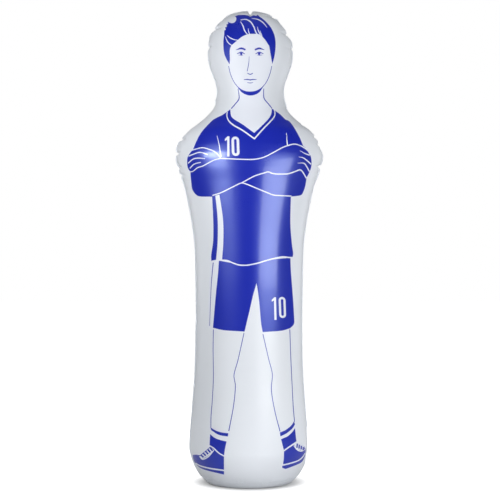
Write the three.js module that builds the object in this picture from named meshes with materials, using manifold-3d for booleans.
// Free kick mannequin: an inflatable dummy in the shape of a standing footballer.
// Two film panels are welded edge to edge, a disc closes the bottom, a film wall inside keeps
// the water ballast apart from the air above it, and a screw valve and a screw plug at the back
// fill the two chambers. Millimetres, +Z up. The origin is on the floor under the middle of the
// base, and the printed front faces -Y.

import * as THREE from 'three';
import { mergeVertices } from 'three/addons/utils/BufferGeometryUtils.js';
import Module from 'manifold-3d';

const wasm = await Module();
wasm.setup();

// The inflated shape: heights above the floor, widths across the seams, depths front to back
const overallHeight = 1750;
const floorRadius = 150;
const baseHeight = 128;
const baseWidth = 439;
const waistHeight = 575;
const waistWidth = 394;
const chestHeight = 1211;
const chestWidth = 543;
const chestDepth = 424;
const neckHeight = 1449;
const neckWidth = 249;
const neckDepth = 276;
const headHeight = 1598;
const headWidth = 317;
const headDepth = 262;

// Roundness of the crown and of the foot: 2 is an ellipse, less is flatter
const crownRoundness = 2.2;
const footRoundness = 1.5;

// How the outline runs between its widest and narrowest places: pairs of shares of the way up
// and of the change in width
const baseToWaistShares = [[0.32, 0.42], [0.59, 0.82], [0.83, 0.98]];
const waistToChestShares = [
  [0.32, 0.03], [0.44, 0.055], [0.6, 0.2], [0.74, 0.43], [0.84, 0.63], [0.93, 0.88],
];
const chestToNeckShares = [
  [0.12, 0.025], [0.25, 0.11], [0.374, 0.245], [0.5, 0.5], [0.626, 0.735], [0.75, 0.9], [0.874, 0.975],
];
const neckToHeadShares = [[0.2, 0.12], [0.4, 0.44], [0.6, 0.765], [0.8, 0.97]];

// Film and its welds
const filmThickness = 0.45;
const contactGap = 0.3;
const seamLip = 4;
const ringHeight = 22;
const ringLap = 8;

// Puckers where the film is gathered into the curved seam: the place as a share of the seam from
// the crown to the neck, or from the neck to the waist, and the depth as a share of the deepest
const puckerDepth = 8;
const puckerHalfWidth = 20;
const puckerReach = 55;
const leftHeadPuckerShares = [[0.33, 1], [0.515, 0.45]];
const rightHeadPuckerShares = [[0.22, 0.85], [0.405, 0.7], [0.535, 0.4]];
const crownPuckerShares = [[0, 1]];
const leftShoulderPuckerShares = [[0.2, 0.55], [0.3, 0.8], [0.358, 0.65], [0.388, 0.35]];
const rightShoulderPuckerShares = [[0.155, 0.3], [0.215, 0.6], [0.262, 0.6], [0.35, 0.8]];

// The wall between water and air, and the water under it
const wallHeight = 200;
const wallRim = 10;
const wallSag = 8;
const waterDrop = 4;

// Where the two fittings sit on the back, and the patch of film that each holds flat
const portHeight = 137;
const flatWidth = 58;
const flatHeight = 64;

// Air valve: a welded seat, a screwed insert with its seal and flap, and a tethered cap
const seatFlangeRadius = 26;
const seatFlangeThickness = 1.5;
const seatBoreRadius = 13;
const seatNeckRadius = 16;
const seatNeckHeight = 7;
const seatSkirtRadius = 15;
const seatSkirtDepth = 8;
const sealThickness = 1.3;
const screwClearance = 0.4;
const insertPassageRadius = 9.2;
const insertDepth = 7.5;
const insertHeadRadius = 19;
const insertHeadThickness = 3;
const insertHeadNotches = 10;
const insertNotchRadius = 3.5;
const insertNotchDepth = 1.6;
const bossRadius = 11.5;
const bossHeight = 7;
const spokeCount = 4;
const spokeWidth = 2;
const spokeThickness = 2;
const hubRadius = 3;
const flapThickness = 0.8;
const flapOverlap = 2.2;
const capRadius = 14.5;
const capTopThickness = 2.2;
const capFlutes = 14;
const capFluteRadius = 1.2;

// Water port: a welded seat and a hollow screw plug with its seal
const portNeckRadius = 15.5;
const portBoreRadius = 12.5;
const portNeckHeight = 5;
const portSealThickness = 1.2;
const plugHeadRadius = 17.5;
const plugHeadThickness = 4;
const plugHollowRadius = 8.5;
const plugDepth = 1.5;
const plugNotches = 8;

// Tethers: a ring round the neck, a bent strip and a ring under a swivel button
const strapThickness = 1.1;
const strapWidth = 7;
const strapRingWidth = 5;
const strapBendOffset = 1.5;
const buttonStemRadius = 2.2;
const buttonStemHeight = 1.8;
const buttonHeadRadius = 3.6;
const buttonHeadThickness = 1.1;
const buttonRingWidth = 4;

// Fineness of the facets
const turnSides = 28;
const smallSides = 10;
const tubeRowStep = 110;
const seamRowStep = 30;
const leastRowStep = 7;
const outlineSamples = 1500;
const columnShares = [0, 0.08, 0.2, 0.37, 0.58, 0.8, 1];
const wallRingShares = [0.8, 0.5, 0.2];
const footRingShares = [0.12, 0.35, 0.65];
const cutOverrun = 3;

// Film and moulding colours
const whiteFilm = { color: 0xeceffb, roughness: 0.32, metalness: 0 };
const clearFilm = { color: 0xdfe6ee, roughness: 0.35, metalness: 0 };
const water = { color: 0xb9d4e2, roughness: 0.1, metalness: 0 };
const whiteMoulding = { color: 0xe6e9ee, roughness: 0.45, metalness: 0 };
const sealRubber = { color: 0x2a2c30, roughness: 0.8, metalness: 0 };
const clearMoulding = { color: 0xd8dde6, roughness: 0.4, metalness: 0 };

// Solids

// Three corners at a time, as a closed solid with its faces pointing out
function solidOfCorners(corners) {
  const geometry = new THREE.BufferGeometry();
  geometry.setAttribute('position', new THREE.Float32BufferAttribute(corners, 3));
  const merged = mergeVertices(geometry, filmThickness / 100);
  const index = Array.from(merged.index.array);
  const kept = [];
  for (let i = 0; i < index.length; i += 3) {
    const [a, b, c] = index.slice(i, i + 3);
    if (a !== b && b !== c && c !== a) kept.push(a, b, c);
  }
  const points = merged.attributes.position.array;
  if (signedVolume(points, kept) < 0) {
    for (let i = 0; i < kept.length; i += 3) {
      [kept[i], kept[i + 1]] = [kept[i + 1], kept[i]];
    }
  }
  return new wasm.Manifold(new wasm.Mesh({
    numProp: 3,
    vertProperties: new Float32Array(points),
    triVerts: new Uint32Array(kept),
  }));
}

function signedVolume(points, index) {
  const corner = (i) => new THREE.Vector3().fromArray(points, 3 * i);
  let sixfold = 0;
  for (let i = 0; i < index.length; i += 3) {
    sixfold += corner(index[i]).cross(corner(index[i + 1])).dot(corner(index[i + 2]));
  }
  return sixfold / 6;
}

function solidOf(geometry) {
  const loose = geometry.index ? geometry.toNonIndexed() : geometry;
  return solidOfCorners(Array.from(loose.attributes.position.array));
}

function meshOf(name, solid, finish) {
  const mesh = solid.getMesh();
  const geometry = new THREE.BufferGeometry();
  geometry.setAttribute('position', new THREE.BufferAttribute(mesh.vertProperties, 3));
  geometry.setIndex(new THREE.BufferAttribute(mesh.triVerts, 1));
  geometry.computeVertexNormals();
  const made = new THREE.Mesh(geometry, new THREE.MeshStandardMaterial(finish));
  made.name = name;
  return made;
}

// A ring or a knob turned about Y from pairs of radius and height; an outline that starts on
// the axis ends on it, and any other closes on itself
function turned(outline) {
  const points = outline.map(([radius, height]) => new THREE.Vector2(radius, height));
  if (outline[0][0] > 0) points.push(points[0].clone());
  return solidOf(new THREE.LatheGeometry(points, turnSides));
}

function rod(radius, low, high, sides, x = 0, z = 0) {
  const geometry = new THREE.CylinderGeometry(radius, radius, high - low, sides);
  geometry.translate(x, (low + high) / 2, z);
  return solidOf(geometry);
}

// Cuts equal notches round a rim that runs from low to high
function notched(solid, count, notchRadius, centreRadius, low, high) {
  let cut = solid;
  for (let i = 0; i < count; i += 1) {
    const turn = (2 * Math.PI * (i + 0.5)) / count;
    const x = centreRadius * Math.cos(turn);
    const z = centreRadius * Math.sin(turn);
    cut = cut.subtract(rod(notchRadius, low - cutOverrun, high + cutOverrun, smallSides, x, z));
  }
  return cut;
}

// Collects the facets of a thin sheet
class Facets {
  constructor() {
    this.corners = [];
  }

  triangle(a, b, c) {
    for (const point of [a, b, c]) this.corners.push(point.x, point.y, point.z);
  }

  // The band between two rows of as many points; a looped row joins its end to its start
  band(low, high, looped = false) {
    const count = looped ? low.length : low.length - 1;
    for (let i = 0; i < count; i += 1) {
      const next = (i + 1) % low.length;
      this.triangle(low[i], low[next], high[next]);
      this.triangle(low[i], high[next], high[i]);
    }
  }

  // The same band facing the other way, split along the same diagonals, so that the two faces of a
  // thin skin stay its thickness apart
  backedBand(low, high, looped = false) {
    const count = looped ? low.length : low.length - 1;
    for (let i = 0; i < count; i += 1) {
      const next = (i + 1) % low.length;
      this.triangle(low[i], high[next], low[next]);
      this.triangle(low[i], high[i], high[next]);
    }
  }

  fan(centre, row) {
    for (let i = 0; i < row.length; i += 1) {
      this.triangle(centre, row[i], row[(i + 1) % row.length]);
    }
  }

  solid() {
    return solidOfCorners(this.corners);
  }
}

// The outline

// A smooth curve through [at, value] pairs that swings past none of them
function curveThrough(pairs) {
  const slopes = pairs.slice(1).map((pair, i) => (pair[1] - pairs[i][1]) / (pair[0] - pairs[i][0]));
  const tangents = pairs.map((_, i) => {
    const before = slopes[i - 1] ?? 0;
    const after = slopes[i] ?? 0;
    return before * after > 0 ? (2 * before * after) / (before + after) : 0;
  });
  return (at) => {
    let i = pairs.findIndex((pair) => pair[0] >= at) - 1;
    if (i < 0) i = at <= pairs[0][0] ? 0 : pairs.length - 2;
    const width = pairs[i + 1][0] - pairs[i][0];
    const u = (at - pairs[i][0]) / width;
    return pairs[i][1] * (1 + 2 * u) * (1 - u) ** 2
      + tangents[i] * width * u * (1 - u) ** 2
      + pairs[i + 1][1] * u ** 2 * (3 - 2 * u)
      + tangents[i + 1] * width * u ** 2 * (u - 1);
  };
}

function between(low, high, shares) {
  return shares.map(([up, across]) => [
    low[0] + up * (high[0] - low[0]),
    low[1] + across * (high[1] - low[1]),
  ]);
}

function bodyCurve(base, waist, chest, neck, head) {
  return curveThrough([
    base,
    ...between(base, waist, baseToWaistShares),
    waist,
    ...between(waist, chest, waistToChestShares),
    chest,
    ...between(chest, neck, chestToNeckShares),
    neck,
    ...between(neck, head, neckToHeadShares),
    head,
  ]);
}

// The tube is round up to the waist, so width and depth start alike
const halfWidthAt = bodyCurve(
  [baseHeight, baseWidth / 2],
  [waistHeight, waistWidth / 2],
  [chestHeight, chestWidth / 2],
  [neckHeight, neckWidth / 2],
  [headHeight, headWidth / 2],
);
const halfDepthAt = bodyCurve(
  [baseHeight, baseWidth / 2],
  [waistHeight, waistWidth / 2],
  [chestHeight, chestDepth / 2],
  [neckHeight, neckDepth / 2],
  [headHeight, headDepth / 2],
);

const crownHeight = overallHeight - seamLip;

// Sections from the edge of the floor circle to the crown: height, half width and half depth
function sampleOutline() {
  const sections = [];
  for (let i = 0; i <= outlineSamples; i += 1) {
    const height = baseHeight * (i / outlineSamples) ** 2;
    const left = (1 - height / baseHeight) ** footRoundness;
    const radius = floorRadius + (baseWidth / 2 - floorRadius) * (1 - left) ** (1 / footRoundness);
    sections.push({ height, halfWidth: radius, halfDepth: radius });
  }
  for (let i = 1; i <= outlineSamples; i += 1) {
    const height = baseHeight + (headHeight - baseHeight) * (i / outlineSamples);
    sections.push({ height, halfWidth: halfWidthAt(height), halfDepth: halfDepthAt(height) });
  }
  for (let i = 1; i <= outlineSamples; i += 1) {
    const turn = (Math.PI / 2) * (i / outlineSamples);
    const narrowing = i === outlineSamples ? 0 : Math.cos(turn) ** (2 / crownRoundness);
    const height = headHeight + (crownHeight - headHeight) * Math.sin(turn) ** (2 / crownRoundness);
    sections.push({ height, halfWidth: headWidth / 2 * narrowing, halfDepth: headDepth / 2 * narrowing });
  }
  let along = 0;
  sections.forEach((section, i) => {
    if (i > 0) {
      const last = sections[i - 1];
      along += Math.hypot(section.height - last.height, section.halfWidth - last.halfWidth);
    }
    section.along = along;
  });
  return sections;
}

const sections = sampleOutline();
const seamEnd = sections.at(-1).along;

function sectionWhere(key, value) {
  let low = 0;
  let high = sections.length - 1;
  while (high - low > 1) {
    const middle = (low + high) >> 1;
    if (sections[middle][key] <= value) low = middle;
    else high = middle;
  }
  const from = sections[low];
  const to = sections[high];
  const span = to[key] - from[key];
  const share = span > 0 ? THREE.MathUtils.clamp((value - from[key]) / span, 0, 1) : 0;
  const mixed = {};
  for (const name of Object.keys(from)) mixed[name] = from[name] + share * (to[name] - from[name]);
  return mixed;
}

const sectionAlong = (along) => sectionWhere('along', along);
const alongAt = (height) => sectionWhere('height', height).along;

// Rows up the seam, and columns across it

const ringAlong = alongAt(ringHeight);
const lapAlong = alongAt(ringHeight + ringLap);
const waterLevel = wallHeight - wallSag - waterDrop;
const waterAlong = alongAt(waterLevel);
const wallAlong = alongAt(wallHeight);
const rimAlong = alongAt(wallHeight + wallRim);
const neckAlong = alongAt(neckHeight);
const waistAlong = alongAt(waistHeight);

// The two bands of rows between which the film lies flat on a fitting's flange
const flatBands = [portHeight, waistHeight].map((height) => ({
  height,
  low: alongAt(height - flatHeight / 2),
  high: alongAt(height + flatHeight / 2),
}));

const fromCrown = ([share, deep]) => ({ along: seamEnd - share * (seamEnd - neckAlong), deep });
const fromNeck = ([share, deep]) => ({ along: neckAlong - share * (neckAlong - waistAlong), deep });
const leftPuckers = [
  ...crownPuckerShares.map(fromCrown),
  ...leftHeadPuckerShares.map(fromCrown),
  ...leftShoulderPuckerShares.map(fromNeck),
];
const rightPuckers = [
  ...crownPuckerShares.map(fromCrown),
  ...rightHeadPuckerShares.map(fromCrown),
  ...rightShoulderPuckerShares.map(fromNeck),
];

// Every row that a weld, a flat band or a pucker needs, and even steps between them
function rowsUpTheSeam() {
  const fixed = [ringAlong, lapAlong, waterAlong, wallAlong, rimAlong, seamEnd];
  for (const band of flatBands) fixed.push(band.low, band.high);
  const marks = [...fixed];
  const puckers = [...leftPuckers, ...rightPuckers].sort((p, q) => q.deep - p.deep);
  for (const pucker of puckers) {
    if (marks.every((mark) => Math.abs(mark - pucker.along) > leastRowStep)) marks.push(pucker.along);
  }
  marks.sort((p, q) => p - q);
  const lowestPucker = Math.min(...puckers.map((pucker) => pucker.along)) - puckerHalfWidth;
  const rows = [marks[0]];
  for (let i = 1; i < marks.length; i += 1) {
    const low = marks[i - 1];
    const high = marks[i];
    const held = flatBands.some((band) => band.low <= low && high <= band.high);
    const step = high > lowestPucker ? seamRowStep : tubeRowStep;
    const count = held ? 1 : Math.ceil((high - low) / step);
    for (let k = 1; k <= count; k += 1) rows.push(low + ((high - low) * k) / count);
  }
  return rows;
}

const rows = rowsUpTheSeam();

// Angles from the right seam over the panel to the left seam; the middle column is flatWidth
// wide at the waist, so that a fitting's flange lies flat on it
const edgeAngle = Math.PI / 2 - Math.asin(flatWidth / waistWidth);
const rightAngles = columnShares.map((share) => share * edgeAngle);
const angles = [...rightAngles, ...rightAngles.map((angle) => Math.PI - angle).reverse()];

// The film

const FRONT = -1;
const BACK = 1;
const seamOffset = contactGap / 2 + filmThickness;

// A panel's section, held flat where the back panel lies on a fitting
function panelSection(side, along) {
  const section = sectionAlong(along);
  if (side === FRONT) return section;
  const band = flatBands.find((each) => along >= each.low && along <= each.high);
  if (!band) return section;
  return { ...section, halfDepth: sectionWhere('height', band.height).halfDepth };
}

function smoothPoint(side, angle, along) {
  const { height, halfWidth, halfDepth } = panelSection(side, along);
  const bulge = Math.max(halfDepth - seamOffset, 0) * Math.sin(angle);
  return new THREE.Vector3(halfWidth * Math.cos(angle), side * (seamOffset + bulge), height);
}

// The direction straight out of the film, from short steps across and up the front panel
function outward(side, angle, along) {
  if (along >= seamEnd) return new THREE.Vector3(0, 0, 1);
  const turn = filmThickness / waistWidth;
  const across = smoothPoint(FRONT, angle + turn, along).sub(smoothPoint(FRONT, angle - turn, along));
  const above = smoothPoint(FRONT, angle, Math.min(along + filmThickness, seamEnd));
  const below = smoothPoint(FRONT, angle, Math.max(along - filmThickness, 0));
  const normal = above.sub(below).cross(across).normalize();
  if (side === BACK) normal.y *= -1;
  return normal;
}

// How far the puckers of a seam draw the film in, by the way along the seam
function puckering(puckers, along) {
  return puckers.reduce((sum, { along: at, deep }) => {
    const near = Math.max(1 - Math.abs(along - at) / puckerHalfWidth, 0);
    return sum + deep * puckerDepth * near ** 1.5;
  }, 0);
}

function drawnIn(angle, along) {
  const { halfWidth, halfDepth } = sectionAlong(along);
  const reach = (gone) => Math.max(1 - gone * (halfWidth + halfDepth) / 2 / puckerReach, 0) ** 2;
  const right = puckering(rightPuckers, along) * reach(angle);
  const left = puckering(leftPuckers, along) * reach(Math.PI - angle);
  return Math.max(right, left);
}

// A point of the film's outer face, or as far inside it as inset says
function filmPoint(side, angle, along, inset = 0) {
  const point = smoothPoint(side, angle, along);
  const away = outward(side, angle, along);
  return point.addScaledVector(away, -drawnIn(angle, along) - inset);
}

// One row of a panel from lip to lip, on the film's outer or inner face
function panelRow(side, along, inset) {
  const row = angles.map((angle) => filmPoint(side, angle, along, inset));
  const seamY = side * (inset > 0 ? contactGap / 2 : seamOffset);
  const crown = along >= seamEnd;
  row.forEach((point, i) => {
    if (i === 0 || i === row.length - 1 || (crown && inset > 0)) point.y = seamY;
  });
  const lips = [0, Math.PI].map((angle) => {
    const away = outward(side, angle, along);
    const edge = filmPoint(side, angle, along).addScaledVector(away, seamLip);
    edge.y = seamY;
    return edge;
  });
  return [lips[0], ...row, lips[1]];
}

// Half of the skin, open at the bottom where the disc is welded in
function panelSolid(side) {
  const facets = new Facets();
  const outer = rows.map((along) => panelRow(side, along, 0));
  const inner = rows.map((along) => panelRow(side, along, filmThickness));
  for (let i = 1; i < rows.length; i += 1) {
    facets.band(outer[i - 1], outer[i]);
    facets.backedBand(inner[i - 1], inner[i]);
  }
  facets.band(inner[0], outer[0]);
  const edge = (grid, pick) => grid.map((row) => row.at(pick));
  facets.band(edge(outer, 0), edge(inner, 0));
  facets.band(edge(inner, -1), edge(outer, -1));
  return facets.solid();
}

// A level loop round both panels, from the right seam over the front and back again
function loopAt(along, inset) {
  const over = angles.map((angle) => filmPoint(FRONT, angle, along, inset));
  const back = angles.slice(1, -1).map((angle) => filmPoint(BACK, angle, along, inset));
  over[0].y = 0;
  over.at(-1).y = 0;
  return [...over, ...back.reverse()];
}

function shrunk(loop, share, height) {
  return loop.map((point) => new THREE.Vector3(point.x * share, point.y * share, height));
}

// Inside the lap the disc lies one film and a gap within the panels, and on the floor it lies on
// the outline itself
const lapInset = filmThickness + contactGap;
const footInset = (along) => lapInset * Math.min(along / ringAlong, 1);
const footAlongs = [...footRingShares.map((share) => share * ringAlong), ringAlong, lapAlong];

function liftedLoop(along, inset, least) {
  const loop = loopAt(along, inset);
  for (const point of loop) point.z = Math.max(point.z, least);
  return loop;
}

function basePanelSolid() {
  const facets = new Facets();
  const outer = [loopAt(0, 0), ...footAlongs.map((along) => loopAt(along, footInset(along)))];
  const inner = [liftedLoop(0, filmThickness, filmThickness)];
  for (const along of footAlongs) {
    inner.push(liftedLoop(along, footInset(along) + filmThickness, filmThickness));
  }
  for (const point of outer[0]) point.z = 0;
  for (let i = 1; i < outer.length; i += 1) {
    facets.band(outer[i - 1], outer[i], true);
    facets.backedBand(inner[i - 1], inner[i], true);
  }
  facets.band(outer.at(-1), inner.at(-1), true);
  facets.fan(new THREE.Vector3(0, 0, filmThickness), inner[0]);
  facets.fan(new THREE.Vector3(0, 0, 0), [...outer[0]].reverse());
  return facets.solid();
}

// The wall between the chambers: a rim welded up the panels and a sagging middle
function wallSolid() {
  const facets = new Facets();
  const middle = (loop, lift) => wallRingShares.map((share) => {
    const height = wallHeight + lift - wallSag * (1 - share ** 2);
    return shrunk(loop, share, height);
  });
  const rimOuter = loopAt(wallAlong, lapInset);
  const rimInner = loopAt(wallAlong, lapInset + filmThickness);
  for (const point of rimInner) point.z += filmThickness;
  const outer = [loopAt(rimAlong, lapInset), rimOuter, ...middle(rimOuter, 0)];
  const inner = [loopAt(rimAlong, lapInset + filmThickness), rimInner, ...middle(rimInner, filmThickness)];
  for (let i = 1; i < outer.length; i += 1) {
    facets.band(outer[i], outer[i - 1], true);
    facets.backedBand(inner[i], inner[i - 1], true);
  }
  facets.band(outer[0], inner[0], true);
  facets.fan(new THREE.Vector3(0, 0, wallHeight - wallSag), [...outer.at(-1)].reverse());
  facets.fan(new THREE.Vector3(0, 0, wallHeight - wallSag + filmThickness), inner.at(-1));
  return facets.solid();
}

// The water, shaped by the film it leans on
function waterSolid() {
  const facets = new Facets();
  const floor = filmThickness + contactGap;
  const alongs = [...footAlongs, ...rows.filter((along) => along > lapAlong && along <= waterAlong)];
  const loops = [liftedLoop(0, floor, floor)];
  for (const along of alongs) {
    loops.push(liftedLoop(along, footInset(along) + lapInset, floor));
  }
  for (let i = 1; i < loops.length; i += 1) facets.band(loops[i - 1], loops[i], true);
  facets.fan(new THREE.Vector3(0, 0, floor), [...loops[0]].reverse());
  facets.fan(new THREE.Vector3(0, 0, waterLevel), loops.at(-1));
  return facets.solid();
}

// The fittings: each is turned about its own axis, with height 0 on the film's outer face

const flangeTop = -(filmThickness + contactGap);
const flangeBottom = flangeTop - seatFlangeThickness;

function seatSolid(boreRadius, neckRadius, neckHeight) {
  return turned([
    [boreRadius, -seatSkirtDepth],
    [seatSkirtRadius, -seatSkirtDepth],
    [seatSkirtRadius, flangeBottom],
    [seatFlangeRadius, flangeBottom],
    [seatFlangeRadius, flangeTop],
    [neckRadius, flangeTop],
    [neckRadius, neckHeight],
    [boreRadius, neckHeight],
  ]);
}

function sealSolid(boreRadius, neckRadius, neckHeight, thickness) {
  const low = neckHeight + contactGap;
  return turned([
    [boreRadius, low],
    [neckRadius, low],
    [neckRadius, low + thickness],
    [boreRadius, low + thickness],
  ]);
}

const insertHeadLow = seatNeckHeight + sealThickness + 2 * contactGap;
const insertHeadHigh = insertHeadLow + insertHeadThickness;
const bossTop = insertHeadHigh + bossHeight;
const insertScrewRadius = seatBoreRadius - screwClearance;

function insertSolid() {
  const tube = turned([
    [insertPassageRadius, -insertDepth],
    [insertScrewRadius, -insertDepth],
    [insertScrewRadius, insertHeadLow],
    [insertHeadRadius, insertHeadLow],
    [insertHeadRadius, insertHeadHigh],
    [bossRadius, insertHeadHigh],
    [bossRadius, bossTop],
    [insertPassageRadius, bossTop],
  ]);
  const notchCentre = insertHeadRadius + insertNotchRadius - insertNotchDepth;
  let insert = notched(
    tube, insertHeadNotches, insertNotchRadius, notchCentre, insertHeadLow, insertHeadHigh,
  );
  insert = insert.add(rod(hubRadius, -insertDepth, spokeThickness - insertDepth, smallSides));
  for (let i = 0; i < spokeCount; i += 1) {
    const length = (insertPassageRadius + insertScrewRadius) / 2;
    const spoke = new THREE.BoxGeometry(length, spokeThickness, spokeWidth);
    spoke.translate(length / 2, spokeThickness / 2 - insertDepth, 0);
    spoke.rotateY((2 * Math.PI * i) / spokeCount);
    insert = insert.add(solidOf(spoke));
  }
  return insert;
}

const flapTop = -(insertDepth + contactGap);

function flapSolid() {
  return rod(insertPassageRadius + flapOverlap, flapTop - flapThickness, flapTop, turnSides);
}

// The strap's ring lies on the insert's head, and the cap's skirt stops just above it
const capStrapLow = insertHeadHigh + contactGap;
const capSkirtLow = capStrapLow + strapThickness + contactGap;
const capTopLow = bossTop + contactGap;
const capTopHigh = capTopLow + capTopThickness;

// A swivel button as pairs of radius and height, from a flat top of that radius in to the axis
function buttonOutline(top) {
  const headLow = top + buttonStemHeight;
  const headHigh = headLow + buttonHeadThickness;
  return [
    [buttonStemRadius, top],
    [buttonStemRadius, headLow],
    [buttonHeadRadius, headLow],
    [buttonHeadRadius, headHigh],
    [0, headHigh],
  ];
}

function capSolid() {
  const inside = bossRadius + screwClearance;
  const cap = turned([
    [0, capTopLow],
    [inside, capTopLow],
    [inside, capSkirtLow],
    [capRadius, capSkirtLow],
    [capRadius, capTopHigh],
    ...buttonOutline(capTopHigh),
  ]);
  return notched(cap, capFlutes, capFluteRadius, capRadius + capFluteRadius / 2, capSkirtLow, capTopHigh);
}

const plugHeadLow = portNeckHeight + portSealThickness + 2 * contactGap;
const plugHeadHigh = plugHeadLow + plugHeadThickness;

function plugSolid() {
  const plug = turned([
    [0, plugHeadLow],
    [plugHollowRadius, plugHeadLow],
    [plugHollowRadius, -plugDepth],
    [portBoreRadius - screwClearance, -plugDepth],
    [portBoreRadius - screwClearance, plugHeadLow],
    [plugHeadRadius, plugHeadLow],
    [plugHeadRadius, plugHeadHigh],
    ...buttonOutline(plugHeadHigh),
  ]);
  const notchCentre = plugHeadRadius + insertNotchRadius - insertNotchDepth;
  return notched(plug, plugNotches, insertNotchRadius, notchCentre, plugHeadLow, plugHeadHigh);
}

// A tether from a ring that stands on ringLow to a ring under the button at buttonLow
function strapSolid(ringHole, ringLow, bendFrom, buttonLow) {
  const washer = (hole, width, low) => turned([
    [hole, low],
    [hole + width, low],
    [hole + width, low + strapThickness],
    [hole, low + strapThickness],
  ]);
  const buttonHole = buttonStemRadius + screwClearance;
  const middle = (ringLow + buttonLow + strapThickness) / 2;
  const bend = (buttonLow + strapThickness - ringLow) / 2;
  const ringEnd = ringHole + strapRingWidth / 2;
  const buttonEnd = buttonHole + buttonRingWidth / 2;
  const side = new THREE.Shape();
  side.moveTo(ringEnd, ringLow);
  side.lineTo(bendFrom, ringLow);
  side.absarc(bendFrom, middle, bend, -Math.PI / 2, Math.PI / 2, false);
  side.lineTo(buttonEnd, buttonLow + strapThickness);
  side.lineTo(buttonEnd, buttonLow);
  side.lineTo(bendFrom, buttonLow);
  side.absarc(bendFrom, middle, bend - strapThickness, Math.PI / 2, -Math.PI / 2, true);
  side.lineTo(ringEnd, ringLow + strapThickness);
  side.closePath();
  const strip = new THREE.ExtrudeGeometry(side, {
    depth: strapWidth,
    bevelEnabled: false,
    curveSegments: smallSides,
  });
  strip.translate(0, 0, -strapWidth / 2);
  strip.rotateY(-Math.PI / 2);
  return solidOf(strip)
    .add(washer(ringHole, strapRingWidth, ringLow))
    .add(washer(buttonHole, buttonRingWidth, buttonLow));
}

// Where each fitting's axis meets the film, square to the flat band
function fittingPlace(band) {
  const place = filmPoint(BACK, edgeAngle, band.low);
  return new THREE.Vector3(0, place.y, band.height);
}

const [portBand, valveBand] = flatBands;
const portPlace = fittingPlace(portBand);
const valvePlace = fittingPlace(valveBand);

// A hole through the back film, or the room that a fitting takes up inside it
function cutterAt(place, radius, low, high) {
  return rod(radius, low, high, turnSides).translate([place.x, place.y, place.z]);
}

function backPanelSolid() {
  let panel = panelSolid(BACK);
  const hole = (place, radius) => cutterAt(place, radius + contactGap, -cutOverrun, cutOverrun);
  panel = panel.subtract(hole(portPlace, portNeckRadius));
  panel = panel.subtract(hole(valvePlace, seatNeckRadius));
  return panel;
}

function waterRoundThePort() {
  const reach = seatSkirtDepth + contactGap;
  return waterSolid().subtract(cutterAt(portPlace, seatFlangeRadius + contactGap, -reach, reach));
}

// The assembly

const mannequin = new THREE.Group();
mannequin.add(
  meshOf('front_panel', panelSolid(FRONT), whiteFilm),
  meshOf('back_panel', backPanelSolid(), whiteFilm),
  meshOf('base_panel', basePanelSolid(), whiteFilm),
  meshOf('chamber_wall', wallSolid(), clearFilm),
  meshOf('ballast_water', waterRoundThePort(), water),
);

const seatSizes = [seatBoreRadius, seatNeckRadius, seatNeckHeight];
const airValve = new THREE.Group();
airValve.position.copy(valvePlace);
airValve.add(
  meshOf('air_valve_seat', seatSolid(...seatSizes), clearMoulding),
  meshOf('air_valve_seal', sealSolid(...seatSizes, sealThickness), sealRubber),
  meshOf('air_valve_insert', insertSolid(), whiteMoulding),
  meshOf('air_valve_flap', flapSolid(), sealRubber),
  meshOf('air_valve_cap', capSolid(), whiteMoulding),
  meshOf(
    'air_valve_strap',
    strapSolid(
      bossRadius + screwClearance,
      capStrapLow,
      insertHeadRadius + strapBendOffset,
      capTopHigh + contactGap,
    ),
    whiteMoulding,
  ),
);

const portSizes = [portBoreRadius, portNeckRadius, portNeckHeight];
const waterPort = new THREE.Group();
waterPort.position.copy(portPlace);
waterPort.add(
  meshOf('water_port_seat', seatSolid(...portSizes), clearMoulding),
  meshOf('water_port_seal', sealSolid(...portSizes, portSealThickness), sealRubber),
  meshOf('water_port_plug', plugSolid(), whiteMoulding),
  meshOf(
    'water_port_strap',
    strapSolid(
      portNeckRadius + contactGap,
      contactGap,
      plugHeadRadius + strapBendOffset,
      plugHeadHigh + contactGap,
    ),
    whiteMoulding,
  ),
);

mannequin.add(airValve, waterPort);

export default mannequin;
